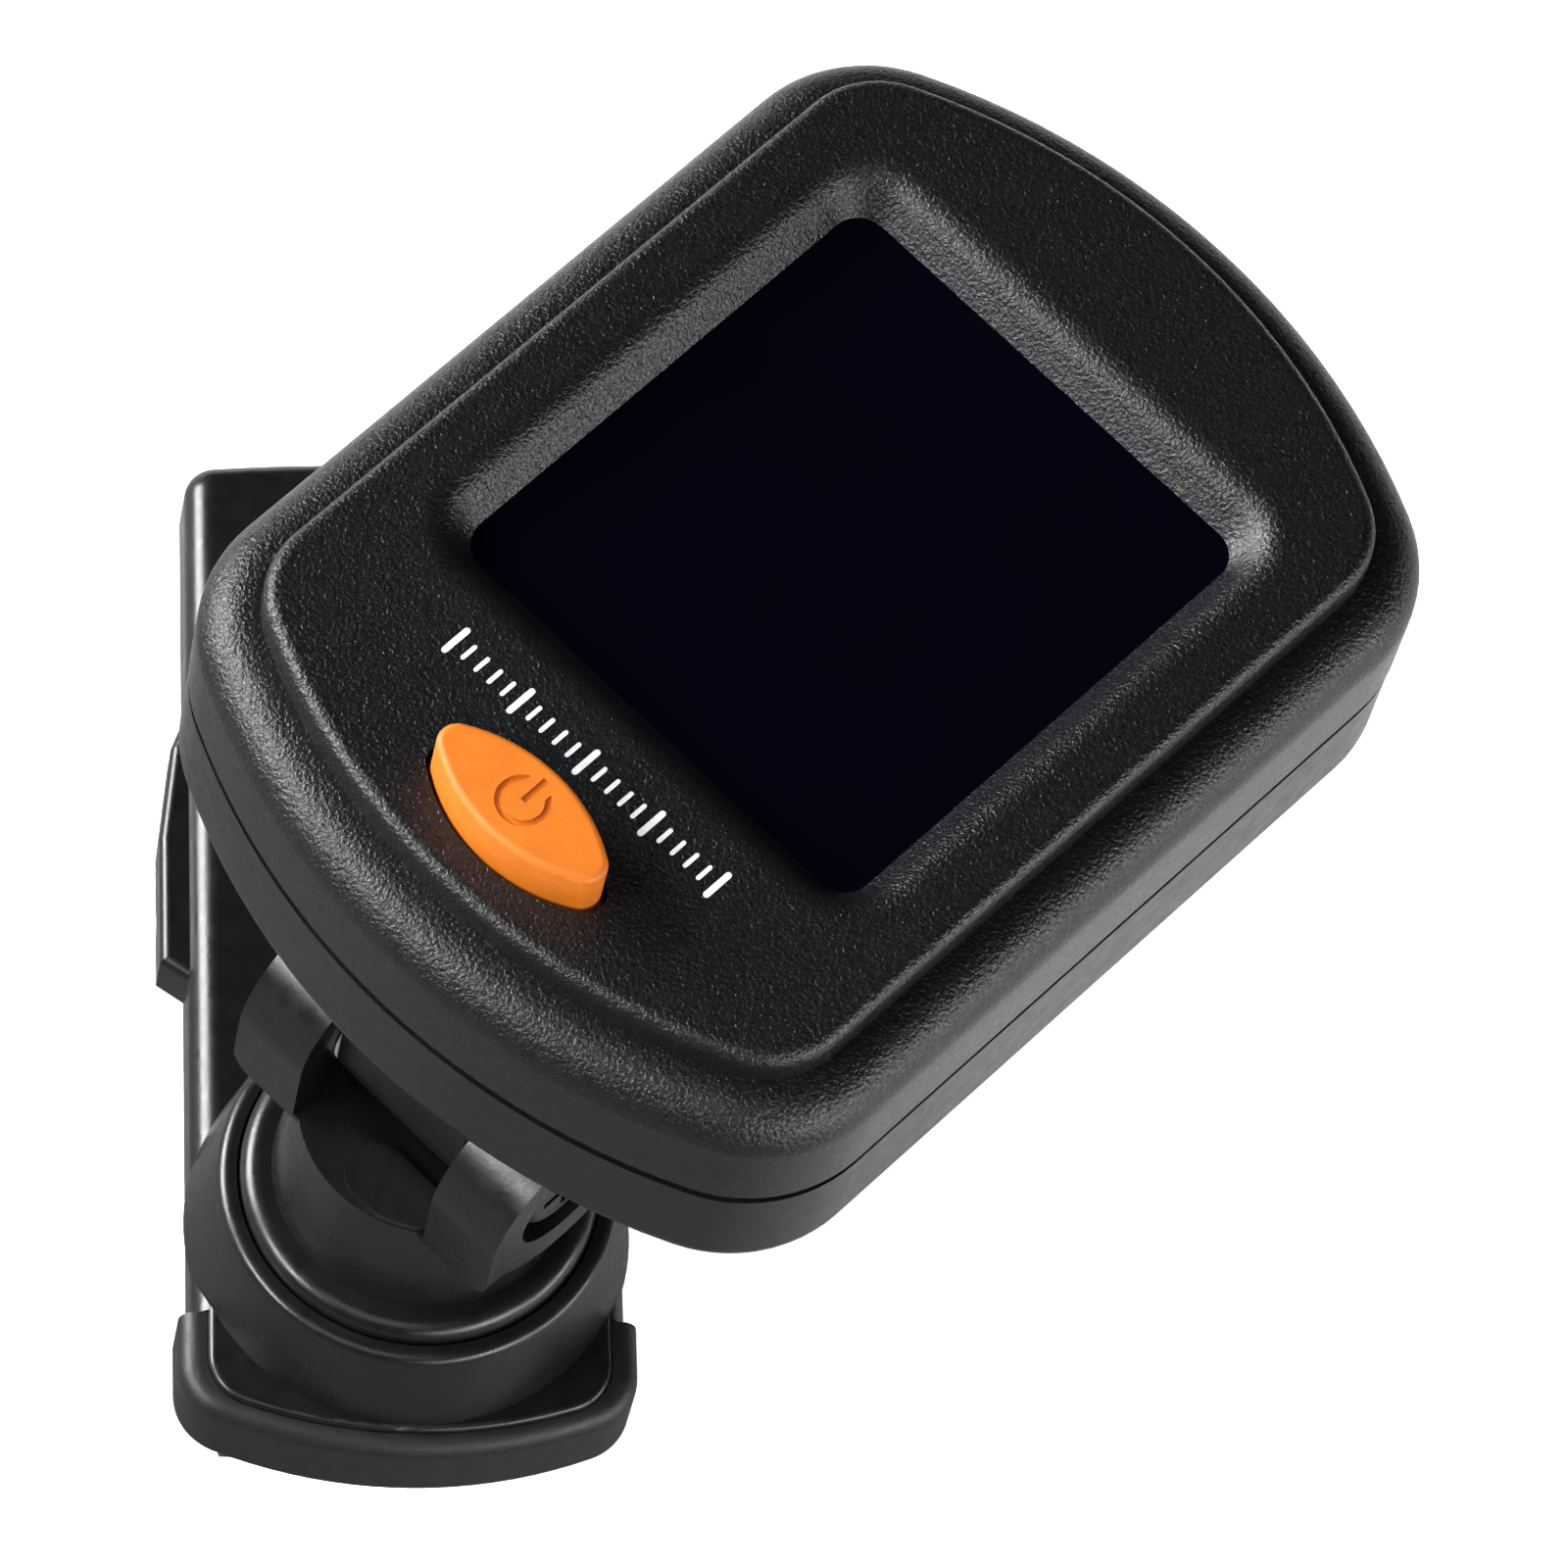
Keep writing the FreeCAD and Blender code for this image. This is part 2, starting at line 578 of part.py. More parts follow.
def power_symbol():
    """A ring with a gap and a bar, the shape that is sunk in the button's face."""
    floor_w = "(button_rise - icon_depth)"
    disc = rod("icon_radius", floor_w, "1", x="button_u", y="button_v")
    core = rod("icon_radius - icon_stroke", f"{floor_w} - 1", "3", x="button_u", y="button_v")
    gap = box("button_u - icon_gap / 2", "button_u + icon_gap / 2", "button_v",
              "button_v + 2 * icon_radius", f"{floor_w} - 1", f"{floor_w} + 2")
    bar = box("button_u - icon_stroke / 2", "button_u + icon_stroke / 2", "button_v",
              "button_v + icon_bar", floor_w, f"{floor_w} + 1")
    return fuse(cut(disc, core, gap), bar)


def make_tact_switch():
    base = box("button_u - switch_size / 2", "button_u + switch_size / 2",
               "button_v - switch_size / 2", "button_v + switch_size / 2",
               "board_w", "board_w + switch_thick - 0.3")
    key = rod("switch_plunger", "board_w + switch_thick - 0.4", "0.4", x="button_u", y="button_v")
    finish(fuse(base, key), "tact_switch", turned=True)


def make_battery():
    cell = rod("cell_radius", "cell_w", "cell_thick * 0.8", y="cell_v")
    cap = rod("cell_radius - 1.1", "cell_w + cell_thick * 0.75", "cell_thick * 0.25", y="cell_v")
    finish(fuse(cell, cap), "battery_cell", turned=True)
    touch = "(cell_w + cell_thick + 0.03)"
    board_side = "(board_w - board_thick - 0.05)"
    far_v = "(cell_v + contact_reach)"
    leaf = contact("cell_v - contact_reach", far_v, touch, f"{touch} + contact_thick")
    riser = contact(f"{far_v} - contact_thick", far_v, touch, board_side)
    finish(fuse(leaf, riser), "battery_contact_minus", turned=True)
    side_v = "(cell_v - cell_radius - 0.05)"
    strip = contact(f"{side_v} - contact_thick", side_v, "cell_w + 0.3", board_side)
    hook = contact(f"{side_v} - 2", side_v, f"{board_side} - contact_thick", board_side)
    finish(fuse(strip, hook), "battery_contact_plus", turned=True)


def contact(low_v, high_v, low_w, high_w):
    """One straight stretch of a sheet-metal contact."""
    return box("-contact_half_width", "contact_half_width", low_v, high_v, low_w, high_w)


def make_piezo():
    plate = rod("piezo_radius", "floor_w + 0.03", "piezo_thick", y="piezo_v")
    ceramic = rod("ceramic_radius", "floor_w + 0.02 + piezo_thick", "ceramic_thick", y="piezo_v")
    finish(fuse(plate, ceramic), "piezo_disc", turned=True)


def make_case_screws():
    screws = []
    for across in (1, -1):
        for along in (1, -1):
            u, v = f"{across} * post_u", f"{along} * post_v"
            outer_w = "(screw_seat_w - screw_head_thick)"
            head = rod("screw_head", outer_w, "screw_head_thick", x=u, y=v)
            shank = rod("screw_radius", "screw_seat_w - 0.5",
                        "screw_tip_w - screw_seat_w + 0.5", x=u, y=v)
            drive = [box(f"{u} - {a}", f"{u} + {a}", f"{v} - {b}", f"{v} + {b}",
                         f"{outer_w} - 1", f"{outer_w} + drive_depth")
                     for a, b in CROSS]
            screws.append(cut(fuse(head, shank), *drive))
    finish(group(*screws), "case_screws", turned=True)


# ---------------------------------------------------------------- turntable and tilt joint

def make_turntable():
    disc = rod("disc_radius", "disc_floor_z", "disc_top_z - disc_floor_z")
    disc = rounded(disc, "disc_edge", lambda edge: lies_at(edge, value("disc_top_z")))
    neck = cone("neck_foot_radius", "neck_top_radius", "disc_top_z - 0.1", "lip_z")
    foot = box("-ear_half_width", "ear_half_width", "-ear_radius", "ear_radius",
               "ear_foot_z", "tilt_z")
    foot = rounded(foot, "1.2", lambda edge: lies_at(edge, value("ear_foot_z"))
                   and edge.BoundBox.XLength < 0.1)
    top = rod("ear_radius", "-ear_half_width", "2 * ear_half_width", z="tilt_z", along="X")
    stem = rod("stem_radius", "stem_z", "disc_floor_z - stem_z + 0.5")
    blank = fuse(disc, neck, foot, top, stem)
    slot = box("-slot_half_width", "slot_half_width", "-ear_radius - 2", "ear_radius + 2",
               "lip_z", "tilt_z + ear_radius + 2")
    trough = rod("trough_radius", "-slot_half_width", "2 * slot_half_width", z="tilt_z", along="X")
    bore = rod("pivot_radius + 0.02", "-ear_half_width - 1", "2 * ear_half_width + 2",
               z="tilt_z", along="X")
    head_recess = rod("ear_recess", "ear_half_width - ear_recess_depth", "ear_recess_depth + 1",
                      z="tilt_z", along="X")
    nut_recess = hexagon("nut_flats + 0.1", "-ear_half_width - 1", "ear_recess_depth + 1")
    screw_bore = rod("swivel_screw_radius + 0.02", "stem_z - 1", "swivel_screw_top - stem_z + 1.2")
    shape = cut(blank, slot, trough, bore, head_recess, nut_recess, screw_bore)
    stop_top = "(lip_z + stop_height)"
    stop_end = rod("stop_half_width", "lip_z - 1.5", f"{stop_top} - lip_z + 1.5", x="stop_u", y="stop_v")
    stop_bar = box("stop_u", "slot_half_width + 0.3", "stop_v - stop_half_width",
                   "stop_v + stop_half_width", "lip_z - 1.5", stop_top)
    stop = common(fuse(stop_end, stop_bar), rod("neck_top_radius - 0.05", "lip_z - 2", "4"))
    finish_turntable(fuse(shape, stop), "turntable")


def hexagon(flats, start, length):
    """A six-sided bar along U on the tilt axis."""
    bar = doc.addObject("Part::Prism", "Hexagon")
    bar.Polygon = 6
    bind(bar, "Circumradius", f"({flats}) / (2 * cos(30))")
    bind(bar, "Height", length)
    bar.Placement = Placement(Vector(0, 0, 0), Rotation(Vector(0, 1, 0), 90))
    place(bar, start, "0", "tilt_z")
    return bar


def make_tilt_fasteners():
    seat = "(ear_half_width - ear_recess_depth)"
    head = rod("tilt_head_radius", seat, "tilt_head_thick", z="tilt_z", along="X")
    face = f"({seat} + tilt_head_thick)"
    head = rounded(head, "0.5", lambda edge: edge.BoundBox.XMin > value(face) - 1e-4)
    shank = rod("pivot_radius", f"0.3 - {seat} - nut_thick", f"2 * {seat} + nut_thick",
                z="tilt_z", along="X")
    drive = [box(f"{face} - 0.8", f"{face} + 1", f"-{a}", a, f"tilt_z - {b}", f"tilt_z + {b}")
             for a, b in (("tilt_drive_reach", "0.3"), ("0.3", "tilt_drive_reach"))]
    finish_turntable(cut(fuse(head, shank), *drive), "tilt_screw")
    nut = hexagon("nut_flats", f"-{seat} - nut_thick", "nut_thick")
    bore = rod("pivot_radius + 0.02", f"-{seat} - nut_thick - 1", "nut_thick + 2",
               z="tilt_z", along="X")
    finish_turntable(cut(nut, bore), "tilt_nut")
    washers = []
    for start in ("knuckle_half_width + 0.03", "-knuckle_half_width - 0.03 - washer_thick"):
        disc = rod("washer_radius", start, "washer_thick", z="tilt_z", along="X")
        hole = rod("pivot_hole", f"{start} - 1", "washer_thick + 2", z="tilt_z", along="X")
        washers.append(cut(disc, hole))
    finish_turntable(group(*washers), "tilt_washers")


def ring(radius, hole, low, thick):
    """A flat ring about the swivel axis."""
    return cut(rod(radius, low, thick), rod(hole, f"{low} - 1", f"{thick} + 2"))


def make_swivel_fasteners():
    flat_low = "(stem_z - 0.03 - retainer_thick)"
    wave = ring("retainer_radius - 0.4", "stem_radius + 0.1", "stem_z",
                "tower_floor_z - stem_z - 0.05")
    finish_turntable(wave, "wave_washer")
    flat = ring("retainer_radius", "swivel_screw_radius + 0.05", flat_low, "retainer_thick")
    finish_turntable(flat, "retaining_washer")
    head = rod("swivel_head_radius", "swivel_head_z", f"{flat_low} - 0.02 - swivel_head_z")
    shank = rod("swivel_screw_radius", "swivel_head_z + 0.5", "swivel_screw_top - swivel_head_z - 0.5")
    drive = [box(f"-{a}", a, f"-{b}", b, "swivel_head_z - 1", "swivel_head_z + drive_depth")
             for a, b in CROSS]
    finish_turntable(cut(fuse(head, shank), *drive), "swivel_screw")


# ---------------------------------------------------------------- clip

def nose_slab(name, half_width, front, corner, low, high, back):
    """A slab with the jaw's rounded nose outline."""
    body = new_body(name)
    sketch = sketch_on(body, name + "_outline", lift=low)
    depth = f"sqrt(nose_end_radius * nose_end_radius - ({half_width}) * ({half_width}))"
    side = f"(({front}) + nose_end_radius - {depth})"
    draw(sketch, [
        (half_width, side, "nose_end_radius"),
        (half_width, back),
        (f"-({half_width})", back),
        (f"-({half_width})", side),
    ])
    pad(body, sketch, f"({high}) - ({low})")
    front_edge = value(side)
    round_edges(body, corner, lambda edge: runs_along(edge, UP)
                and abs(middle(edge).y - front_edge) < 1e-3)
    return body


def make_beam():
    """The upper lever's flat top and sides as one slab, with its bowed finger end."""
    body = new_body("Beam")
    sketch = sketch_on(body, "beam_outline", lift="lever_foot_z")
    bow = "sqrt(tab_end_radius * tab_end_radius - lever_half_width * lever_half_width)"
    side = f"(tab_end_y - tab_end_radius + {bow})"
    draw(sketch, [
        ("lever_half_width", "nose_root_y"),
        ("lever_half_width", side),
        ("-lever_half_width", side, "tab_end_radius"),
        ("-lever_half_width", "nose_root_y"),
    ])
    pad(body, sketch, "lever_top_z - lever_foot_z")
    root = value("nose_root_y") + 1
    round_edges(body, "tab_corner", lambda edge: runs_along(edge, UP) and middle(edge).y > root)
    round_edges(body, "lever_edge", lambda edge: lies_at(edge, value("lever_top_z"))
                and middle(edge).y > root)
    return body


def make_upper_lever():
    nose = nose_slab("NoseCore", "nose_half_width", "nose_y", "nose_corner", "pad_seat_z",
                     "lever_top_z", "nose_root_y + 3")
    nose = rounded(nose, "0.35", lambda edge: lies_at(edge, value("lever_top_z"))
                   and middle(edge).y < value("nose_root_y"))
    tower = cone("tower_foot_radius", "tower_top_radius", "tower_foot_z", "tower_z",
                 y="swivel_y")
    tower = rounded(tower, "tower_edge", lambda edge: lies_at(edge, value("tower_z")))
    bosses = [make_pivot_boss(side) for side in (1, -1)]
    solid = fuse(make_beam(), nose, tower, *bosses)
    channel = box("lever_wall - lever_half_width", "lever_half_width - lever_wall",
                  "channel_start_y", "tab_end_y - 2 * lever_wall", "-lobe_radius - 1",
                  "channel_top_z")
    seat = box("-pad_half_width - 0.05", "pad_half_width + 0.05", "nose_y - 1",
               "channel_start_y + 1", "-pad_seat_z", "pad_seat_z")
    socket = rod("socket_radius", "socket_z", "tower_z", y="swivel_y")
    stem_bore = rod("stem_hole", "0", "tower_z", y="swivel_y")
    well = rod("screw_well_radius", "0", "tower_floor_z", y="swivel_y")
    pin_bore = rod("clip_pin_radius + 0.02", "-boss_half_width - 1", "2 * boss_half_width + 2",
                   y="clip_pin_y", along="X")
    finish(cut(solid, channel, seat, socket, stem_bore, well, pin_bore), "upper_lever")


def make_pivot_boss(side):
    """A thickened stretch of the lever's side, over the lobe that holds one end of the pin."""
    body = new_body("PivotBoss")
    sketch = sketch_on(body, "boss_outline", lift="boss_foot_z")
    inner = "(lever_half_width - lever_wall)"
    corners = [
        (inner, "boss_start_y"),
        ("lever_half_width - 0.1", "boss_start_y"),
        ("boss_half_width", "boss_face_start"),
        ("boss_half_width", "boss_face_end"),
        ("boss_half_width - 0.6", "boss_end_y - 2.2"),
        ("lever_half_width - 0.1", "boss_end_y"),
        (inner, "boss_end_y"),
    ]
    draw(sketch, [(f"{side} * ({x})", y) for x, y in corners])
    pad(body, sketch, "boss_top_z - boss_foot_z")
    round_edges(body, "boss_edge", lambda edge: lies_at(edge, value("boss_top_z"))
                and abs(middle(edge).x) > value("lever_half_width") + 0.1)
    start = inner if side > 0 else "-lever_half_width"
    lobe = rod("lobe_radius", start, "lever_wall", y="clip_pin_y", along="X")
    web = box(start, f"{start} + lever_wall", "clip_pin_y - lobe_radius",
              "clip_pin_y + lobe_radius", "0", "lever_foot_z + 1")
    return fuse(body, lobe, web)


def make_upper_pad():
    boot = nose_slab("Boot", "boot_half_width", "boot_y", "boot_corner", "pad_face_z",
                     "boot_top_z", "nose_root_y - 0.05")
    boot = rounded(boot, "boot_edge", lambda edge: lies_at(edge, value("boot_top_z"))
                   and middle(edge).y < value("nose_root_y") - 0.5)
    core = nose_slab("BootHollow", "nose_half_width + 0.03", "nose_y - 0.03", "nose_corner",
                     "pad_seat_z - 0.03", "boot_top_z + 1", "nose_root_y + 3")
    tongue = box("-pad_half_width", "pad_half_width", "nose_root_y - 1", "pad_back_y",
                 "pad_face_z", "pad_seat_z - 0.03")
    finish(fuse(cut(boot, core), tongue), "upper_pad")


def make_lower_pad():
    face = nose_slab("LowerFace", "pad_half_width - 0.3", "lower_pad_y", "nose_corner",
                     "lower_seat_z + 0.03", "-pad_face_z", "pad_back_y")
    finish(face, "lower_pad")


def make_lower_lever():
    body = new_body("LowerBody")
    sketch = sketch_on(body, "lever_side", role="YZ_Plane")
    end_drop = "((lower_tab_y - bend_y) * tan(tab_slope))"
    top_z = f"(lower_foot_z + tab_depth - {end_drop})"
    draw(sketch, [
        ("lower_nose_y", "lower_seat_z"),
        ("lower_nose_y + 0.2", "lower_foot_z + 2.6"),
        ("lower_nose_y + 3.0", "lower_foot_z", "3.4"),
        ("bend_y", "lower_foot_z"),
        ("lower_tab_y", f"lower_foot_z - {end_drop}"),
        ("lower_tab_y + 0.9", f"{top_z} - 0.9", "1.9"),
        ("lower_tab_y", top_z, "1.2"),
        ("clip_pin_y + lug_radius", "lower_seat_z - 0.9"),
        ("clip_pin_y + lug_radius", "0"),
        ("clip_pin_y - lug_radius", "0", "lug_radius + 0.0001"),
        ("clip_pin_y - lug_radius", "lower_seat_z"),
    ])
    pad(body, sketch, "2 * lower_half_width", both_ways=True)
    hollow = new_body("LowerHollow")
    inside = sketch_on(hollow, "hollow_side", role="YZ_Plane")
    floor_z = "(lower_foot_z + lower_wall)"
    draw(inside, [
        ("lower_core_y", floor_z),
        ("bend_y + 0.3", floor_z),
        ("lower_tab_y - 1.5", f"{floor_z} + 0.1 - (lower_tab_y - 1.5 - bend_y) * tan(tab_slope)"),
        ("lower_tab_y - 1.5", "5"),
        ("lower_core_y", "5"),
    ])
    pad(hollow, inside, "2 * (lower_half_width - lower_wall)", both_ways=True)
    pin_bore = rod("lower_pin_hole", "-lower_half_width - 1", "2 * lower_half_width + 2",
                   y="clip_pin_y", along="X")
    ribs = []
    for i in range(5):
        y = f"(lower_tab_y - 3 - {i} * rib_pitch)"
        ribs.append(rod("rib_radius", "1.5 - lower_half_width", "2 * lower_half_width - 3", y=y,
                        z=f"lower_foot_z - ({y} - bend_y) * tan(tab_slope)", along="X"))
    finish(cut(fuse(body, *ribs), hollow, pin_bore), "lower_lever")


def make_clip_pin():
    pin = rod("clip_pin_radius", "-clip_pin_half", "2 * clip_pin_half", y="clip_pin_y", along="X")
    pin = rounded(pin, "0.25", lambda edge: edge.Curve.TypeId == "Part::GeomCircle")
    finish(group(pin), "clip_pin")


def make_torsion_spring():
    """The coil is one ring-ribbed sleeve; its two legs press the levers' tabs apart."""
    turns = int(value("coil_turns"))
    pitch, wire, coil = value("coil_pitch"), value("wire_radius"), value("coil_radius")
    rings = []
    for i in range(turns):
        x = (i - (turns - 1) / 2) * pitch
        rings.append(Part.makeTorus(coil, wire, Vector(x, 0, 0), Vector(1, 0, 0)))
    width = (turns - 1) * pitch
    sleeve = Part.makeCylinder(coil + wire * 0.45, width, Vector(-width / 2, 0, 0), Vector(1, 0, 0))
    bore = Part.makeCylinder(coil - wire * 0.45, width, Vector(-width / 2, 0, 0), Vector(1, 0, 0))
    shape = sleeve.cut(bore).fuse(rings)
    length = value("leg_length")
    legs = ((-width / 2, 1, value("upper_leg_slope")), (width / 2, -1, -value("lower_leg_slope")))
    for x, side, slope in legs:
        angle = math.radians(slope)
        along = Vector(0, math.cos(angle), math.sin(angle))
        start = Vector(x, -math.sin(angle) * coil * side, math.cos(angle) * coil * side)
        leg = Part.makeCylinder(wire * 0.94, length + wire, start - along * wire, along)
        shape = shape.fuse(leg)
    spring = doc.addObject("Part::Feature", "TorsionSpring")
    spring.Shape = shape.removeSplitter()
    spring.Placement = Placement(Vector(0, value("clip_pin_y"), 0), Rotation())
    finish(spring, "torsion_spring")


# ---------------------------------------------------------------- build, check and write

for make in (
    make_front_shell, make_rear_shell, make_battery_door, make_display, make_circuit_board,
    make_controller_chip, make_power_button, make_tact_switch, make_battery, make_piezo,
    make_case_screws, make_turntable, make_tilt_fasteners, make_swivel_fasteners,
    make_upper_lever, make_upper_pad, make_lower_pad, make_lower_lever, make_clip_pin,
    make_torsion_spring,
):
    make()

doc.recompute()

for thing in doc.Objects:
    if "Invalid" in thing.State or "Error" in thing.State:
        raise RuntimeError(f"{thing.Name} ({thing.Label}) failed: {thing.State}")

os.makedirs("parts", exist_ok=True)
for label, thing in sub_parts.items():
    shape = thing.Shape
    if shape.isNull() or not shape.isValid():
        raise RuntimeError(f"{label} has no valid shape")
    shape.exportStep(f"parts/{label}.step")
    span = shape.BoundBox
    print(f"{label}: {len(shape.Solids)} solid(s), {shape.Volume:.1f} mm3, "
          f"x {span.XMin:.2f}..{span.XMax:.2f}, y {span.YMin:.2f}..{span.YMax:.2f}, "
          f"z {span.ZMin:.2f}..{span.ZMax:.2f}")
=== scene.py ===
"""Looks for the clip-on tuner: materials, the finished small pieces, studio and camera.

Everything is in metres in the row frame: +Z from the lower jaw to the upper jaw, +Y from the
nose to the finger tabs. The head has its own directions: U across it, V from the button to the
display and W out of the front panel, which is level W = 0.
"""
import bmesh
import bpy
import json
import math
from mathutils import Matrix, Vector


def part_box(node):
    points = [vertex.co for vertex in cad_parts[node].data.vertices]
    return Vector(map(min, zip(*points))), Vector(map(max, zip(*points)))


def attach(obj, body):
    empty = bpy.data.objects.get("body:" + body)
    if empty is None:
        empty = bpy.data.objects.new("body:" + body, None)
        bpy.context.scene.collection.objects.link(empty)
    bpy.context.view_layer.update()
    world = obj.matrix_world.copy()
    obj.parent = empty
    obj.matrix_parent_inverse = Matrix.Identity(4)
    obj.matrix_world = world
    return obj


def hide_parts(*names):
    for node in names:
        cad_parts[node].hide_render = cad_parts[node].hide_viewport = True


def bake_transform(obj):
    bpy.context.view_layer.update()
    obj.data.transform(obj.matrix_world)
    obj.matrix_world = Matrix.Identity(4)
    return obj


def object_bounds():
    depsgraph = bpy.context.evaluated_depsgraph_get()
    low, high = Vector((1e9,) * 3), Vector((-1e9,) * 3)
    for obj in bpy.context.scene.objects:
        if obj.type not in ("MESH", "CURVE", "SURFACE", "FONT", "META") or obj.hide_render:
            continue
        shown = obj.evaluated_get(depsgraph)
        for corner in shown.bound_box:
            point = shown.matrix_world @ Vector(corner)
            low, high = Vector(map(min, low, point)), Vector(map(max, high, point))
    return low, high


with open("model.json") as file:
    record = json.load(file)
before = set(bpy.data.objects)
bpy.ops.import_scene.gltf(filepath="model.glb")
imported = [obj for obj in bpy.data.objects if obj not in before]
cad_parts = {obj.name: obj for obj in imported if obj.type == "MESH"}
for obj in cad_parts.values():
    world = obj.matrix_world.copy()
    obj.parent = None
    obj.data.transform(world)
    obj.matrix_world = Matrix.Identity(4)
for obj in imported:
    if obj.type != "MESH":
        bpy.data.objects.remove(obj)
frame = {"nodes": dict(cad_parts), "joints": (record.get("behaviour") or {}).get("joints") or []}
cad_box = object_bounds()

MM = 0.001
JOINTS = {joint["name"]: joint for joint in frame["joints"]}
NODES = frame["nodes"]

# The head's frame, worked out from the tilt joint.
TILT = JOINTS["head_tilt"]
TILT_V = -21.0 * MM
TILT_W = -24.9 * MM
HEAD_U = Vector(TILT["axis"]).normalized()
HEAD_W = Vector((0, 0, 1))
HEAD_V = HEAD_W.cross(HEAD_U)
HEAD_ORIGIN = Vector(TILT["pos_m"]) - HEAD_V * TILT_V - HEAD_W * TILT_W
HEAD = Matrix.Translation(HEAD_ORIGIN) @ Matrix((HEAD_U, HEAD_V, HEAD_W)).transposed().to_4x4()

# The grain fades out below the shoulder.
GRAIN_FOOT = HEAD_ORIGIN.z - 4.6 * MM


# ---------------------------------------------------------------- materials

class Surface:
    """A node material that starts as a Principled shader with texture coordinates in metres."""

    def __init__(self, name, colour, roughness, **settings):
        self.material = bpy.data.materials.new(name)
        self.material.use_nodes = True
        self.tree = self.material.node_tree
        self.shader = self.tree.nodes["Principled BSDF"]
        self.place = self.tree.nodes.new("ShaderNodeTexCoord").outputs["Object"]
        self.height = None
        settings.update(Base_Color=(*colour, 1.0), Roughness=roughness)
        for key, value in settings.items():
            self.feed(self.shader.inputs[key.replace("_", " ")], value)

    def node(self, kind, **inputs):
        """Add a node; an input's name has underscores for its spaces."""
        made = self.tree.nodes.new(kind)
        for key, value in inputs.items():
            self.feed(made.inputs[key.replace("_", " ")], value)
        return made

    def feed(self, target, value):
        """Link another node's output to a socket, or set the socket to a plain value."""
        if isinstance(value, bpy.types.NodeSocket):
            self.tree.links.new(value, target)
        else:
            target.default_value = value

    def noise(self, size, detail=2.0, rough=0.5, distort=0.0):
        """Noise whose features are about `size` metres wide."""
        made = self.node("ShaderNodeTexNoise", Vector=self.place, Scale=1 / size, Detail=detail,
                         Roughness=rough, Distortion=distort)
        return made.outputs["Fac"]

    def spots(self, size):
        """Distance to the nearest of many scattered points about `size` metres apart."""
        made = self.node("ShaderNodeTexVoronoi", Vector=self.place, Scale=1 / size)
        return made.outputs["Distance"]

    def spread(self, source, low, high, start=0.3, end=0.7):
        """Map a value that runs from start to end onto low to high."""
        made = self.node("ShaderNodeMapRange", Value=source)
        made.inputs["From Min"].default_value = start
        made.inputs["From Max"].default_value = end
        made.inputs["To Min"].default_value = low
        made.inputs["To Max"].default_value = high
        return made.outputs["Result"]

    def tint(self, source, low, high, start=0.3, end=0.7):
        """Colour varies between two colours with a pattern."""
        ramp = self.node("ShaderNodeValToRGB", Fac=source)
        ramp.color_ramp.elements[0].position = start
        ramp.color_ramp.elements[0].color = (*low, 1.0)
        ramp.color_ramp.elements[1].position = end
        ramp.color_ramp.elements[1].color = (*high, 1.0)
        self.feed(self.shader.inputs["Base Color"], ramp.outputs["Color"])

    def rough(self, source, low, high):
        """Roughness varies between two values with a pattern."""
        self.feed(self.shader.inputs["Roughness"], self.spread(source, low, high))

    def above(self, height, blend):
        """A value that rises from 0 to 1 as the surface climbs past a height."""
        parts = self.node("ShaderNodeSeparateXYZ", Vector=self.place)
        return self.spread(parts.outputs["Z"], 0.0, 1.0, height - blend, height + blend)

    def bump(self, source, depth, strength=1.0):
        """Raise the surface by a pattern, `depth` metres from lowest to highest."""
        made = self.node("ShaderNodeBump", Strength=strength, Distance=depth, Height=source)
        if self.height is not None:
            self.feed(made.inputs["Normal"], self.height)
        self.height = made.outputs["Normal"]
        self.feed(self.shader.inputs["Normal"], self.height)


def grained_plastic():
    """The front case: black, with a fine leathery grain on its panel and shoulder."""
    skin = Surface("case_grain", (0.0045, 0.005, 0.006), 0.3)
    skin.tint(skin.noise(0.9 * MM), (0.004, 0.0044, 0.0052), (0.0055, 0.006, 0.007))
    skin.rough(skin.noise(0.25 * MM), 0.25, 0.38)
    grain = skin.noise(0.19 * MM, detail=2.5, rough=0.55, distort=0.3)
    skin.bump(grain, 0.1 * MM, strength=skin.above(GRAIN_FOOT, 1.2 * MM))
    return skin.material


def satin_plastic(name, colour, roughness, grain=0.006):
    """Smooth moulded plastic with a faint grain, `grain` millimetres deep, and slight wear."""
    skin = Surface(name, colour, roughness)
    lighter = tuple(channel * 1.3 for channel in colour)
    skin.tint(skin.noise(2.5 * MM), colour, lighter)
    skin.rough(skin.noise(0.9 * MM), roughness - 0.04, roughness + 0.05)
    skin.bump(skin.noise(0.2 * MM, detail=2), grain * MM)
    return skin.material


def silicone_orange():
    """The soft button: orange, matt, with a fine skin."""
    skin = Surface("button_orange", (0.6, 0.15, 0.005), 0.55)
    skin.tint(skin.noise(1.2 * MM), (0.58, 0.143, 0.004), (0.64, 0.162, 0.006))
    skin.rough(skin.noise(0.3 * MM), 0.5, 0.62)
    skin.bump(skin.noise(0.12 * MM, detail=3), 0.012 * MM)
    return skin.material


def tinted_window():
    """The display cover: glossy and nearly black, with a trace of blue."""
    skin = Surface("window_gloss", (0.0009, 0.0008, 0.0035), 0.06)
    skin.tint(skin.noise(8 * MM), (0.0008, 0.0007, 0.0031), (0.0011, 0.001, 0.0039))
    skin.rough(skin.noise(6 * MM), 0.04, 0.08)
    return skin.material


